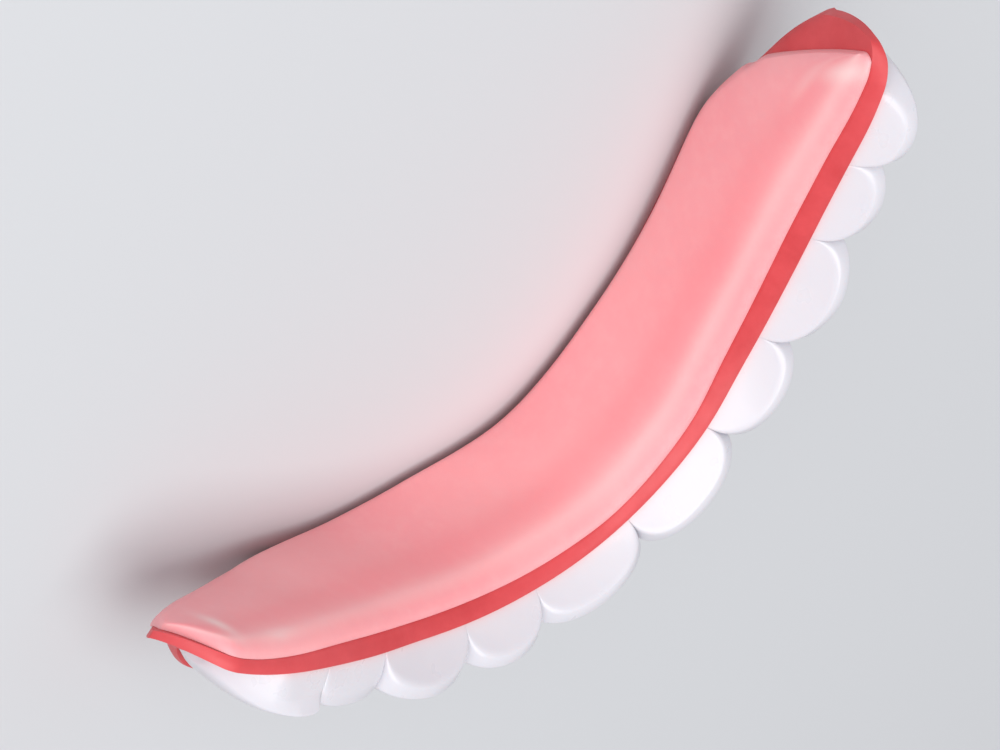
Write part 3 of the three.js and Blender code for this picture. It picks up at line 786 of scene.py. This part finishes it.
def pad_profile(s):
    """Closed loop (s, o, z) of the pad, and how far down its face each point lies: a quarter circle
    over the crowning, then a slow fall to the lower edge, plus the roll, fall^2."""
    short_by = np.where(s < 0, RIGHT_PAD_MARGIN, LEFT_PAD_MARGIN)
    taper = end_round(s, np.where(s < 0, right_end, left_end) - short_by, PAD_TAPER)
    low_line = lambda at: close_in(at, NOTCH_HEIGHT * edge["pad"](at))
    top = close_in(s, rim_back(s) - HAIRLINE, short_by, PAD_END_ROUND)
    low = close_in(s, low_line(slanted(s, low_line(s))), short_by, PAD_END_ROUND)

    def points(z, thick):
        at = slanted(s, z)
        height = np.minimum(z, rim_back(at) - HAIRLINE)
        return np.stack([at, wall_back(at, height) - HAIRLINE - thick, height], -1)

    down = (1 - np.cos(np.linspace(0, np.pi, PAD_LEVELS)))[None, :] / 2
    z = lerp(top, low, down)
    swell = np.sqrt(np.clip(1 - np.clip(1 - down / PAD_CROWNING, 0, 1) ** 2, 0, 1))
    fall = np.clip((down - PAD_CROWNING) / (1 - PAD_CROWNING), 0, 1)
    roll = PAD_ROLL * edge["fat"](s) * fall**2
    thick = PAD_THICKNESS * swell - (PAD_THICKNESS - PAD_EDGE) * fall + roll
    thick = thick + RIDGE * bell(down, *STRIP) - VALLEY * bell(down, *VALLEY_BAND)
    near_low = np.clip((down - (1 - PAD_EDGE_SHARE)) / PAD_EDGE_SHARE, 0, 1)
    edge_round = np.sqrt(np.clip(1 - near_low**2, 0, 1))
    thick = thick * lerp(PAD_END_SHARE, 1, taper) * edge_round
    wave = PAD_WAVE * np.sin(PAD_WAVE_ALONG * s + PAD_WAVE_UP * z) * swell * np.sin(np.pi * down)
    face = points(z, thick + wave * taper)
    up_the_back = np.linspace(1, 0, PAD_BACK_LEVELS)[None, 1:-1]
    back = points(lerp(top, low, up_the_back), 0 * up_the_back)
    every_down = np.concatenate([down, up_the_back], axis=1)
    every_down = np.broadcast_to(every_down, (len(s), every_down.shape[1]))
    return np.concatenate([face, back], axis=1), every_down


turn = np.linspace(-np.pi / 2, np.pi / 2, PAD_LENGTHS)
pad_middle = (left_end - LEFT_PAD_MARGIN - right_end + RIGHT_PAD_MARGIN) / 2
pad_half = (left_end - LEFT_PAD_MARGIN + right_end - RIGHT_PAD_MARGIN) / 2
pad_s = (pad_middle + pad_half * np.sin(turn * PAD_END_STOP))[:, None]
print("pad:", round(2 * pad_half, 1), "mm along the arch")

# %% [markdown]
# ## Soft liner
# The liner is a pale pink silicone, satin and slightly cloudy. Light goes in further than in the hard
# gum, which softens its shading, and handling leaves pale and deeper patches. The colour is mixed
# from two scales of noise. Painted on the mesh are a painted highlight along the strip under the rim,
# painted shade in the valley beyond it, and a few whitish patches near the ends, partly marks of
# handling and partly painted highlights.

# %% Mix the soft liner
def soft_liner():
    """Pale pink with soft patches, a fine speckle, a painted highlight strip under the rim, painted
    shade in the valley and whitish patches near the ends, partly painted highlights.
    """
    material = plain_material("soft_liner", (0.95, 0.36, 0.38), 0.45)
    nodes, links = material.node_tree.nodes, material.node_tree.links
    shader = nodes["Principled BSDF"]
    places = object_places(nodes)
    patches = spread(nodes, links, noise(nodes, links, places, 85.0, 2.0), 0.3, 0.7, 0.0, 1.0)
    body = blend_colour(nodes, links, patches, (0.93, 0.33, 0.355), (0.96, 0.39, 0.405))
    speckle = spread(nodes, links, noise(nodes, links, places, 900.0, 5.0, 0.65), 0.45, 0.75, 0.0, 0.35)
    worked = blend_colour(nodes, links, speckle, body, (0.97, 0.44, 0.45))
    # painted shade: the shallow valley in the middle of the pad's face is painted deeper, as shade
    # would fall there
    valley_shaded = blend_colour(nodes, links, painted(nodes, "painted_valley_shade"), worked, (0.93, 0.27, 0.29))
    # painted highlight: the lamps' sheen on the pad's rounded upper edge, painted in as a paler strip
    strip_highlighted = blend_colour(nodes, links, painted(nodes, "painted_highlight_strip"), valley_shaded, (0.98, 0.52, 0.52))
    # whitish patches near the ends: partly pale marks of handling, partly painted highlights on the
    # pad's turned ends
    whitened_and_lit = blend_colour(nodes, links, painted(nodes, "handling_and_highlight"), strip_highlighted, (0.98, 0.66, 0.64))
    links.new(whitened_and_lit, shader.inputs["Base Color"])
    gloss = spread(nodes, links, noise(nodes, links, places, 240.0, 4.0), 0.3, 0.7, 0.40, 0.55)
    links.new(gloss, shader.inputs["Roughness"])
    shader.inputs["Subsurface Weight"].default_value = 0.3
    shader.inputs["Subsurface Radius"].default_value = (1.0, 0.4, 0.35)
    shader.inputs["Subsurface Scale"].default_value = 0.0012
    shader.inputs["IOR"].default_value = 1.43
    bumped(nodes, links, shader, noise(nodes, links, places, 500.0, 5.0, 0.6), 0.2, 0.00012)
    return material


liner_material = soft_liner()
print("soft liner:", len(liner_material.node_tree.nodes), "nodes")

# %% Press the pad
# Whitish patches, partly marks of handling and partly painted highlights, chiefly the upright one at
# 38.2 mm: place and length along the arch in mm, place and width in the height, amount
HANDLING_AND_HIGHLIGHTS = (
    (-35.6, 0.8, 0.16, 0.16, 0.8),
    (-34.6, 2.2, 0.42, 0.05, 0.3),
    (38.2, 0.6, 0.42, 0.22, 0.85),
    (34.0, 1.6, 0.14, 0.06, 0.5),
)
pad_points, down = pad_profile(pad_s)
pad = closed_loft("fitting_pad_liner", on_arch(*np.moveaxis(pad_points, -1, 0)))
handling_and_highlight = sum(amount * bell(pad_s, place, length) * bell(down, height, width)
              for place, length, height, width, amount in HANDLING_AND_HIGHLIGHTS)
painted_layers = {
    # painted highlight along the strip under the rim
    "painted_highlight_strip": 0.6 * bell(down, *STRIP),
    # painted shade in the valley
    "painted_valley_shade": 0.5 * bell(down, *VALLEY_BAND),
    # whitish patches: handling marks and painted highlights
    "handling_and_highlight": handling_and_highlight,
}
for layer, values in painted_layers.items():
    paint(pad, layer, np.append(values.ravel(), CAP_MIDDLES))
piece_like(pad, ["fitting_pad"], liner_material)

# %% [markdown]
# ## Finish
# The visual pieces must stay inside the CAD model's box.

# %% Update the view layer and finish
bpy.context.view_layer.update()
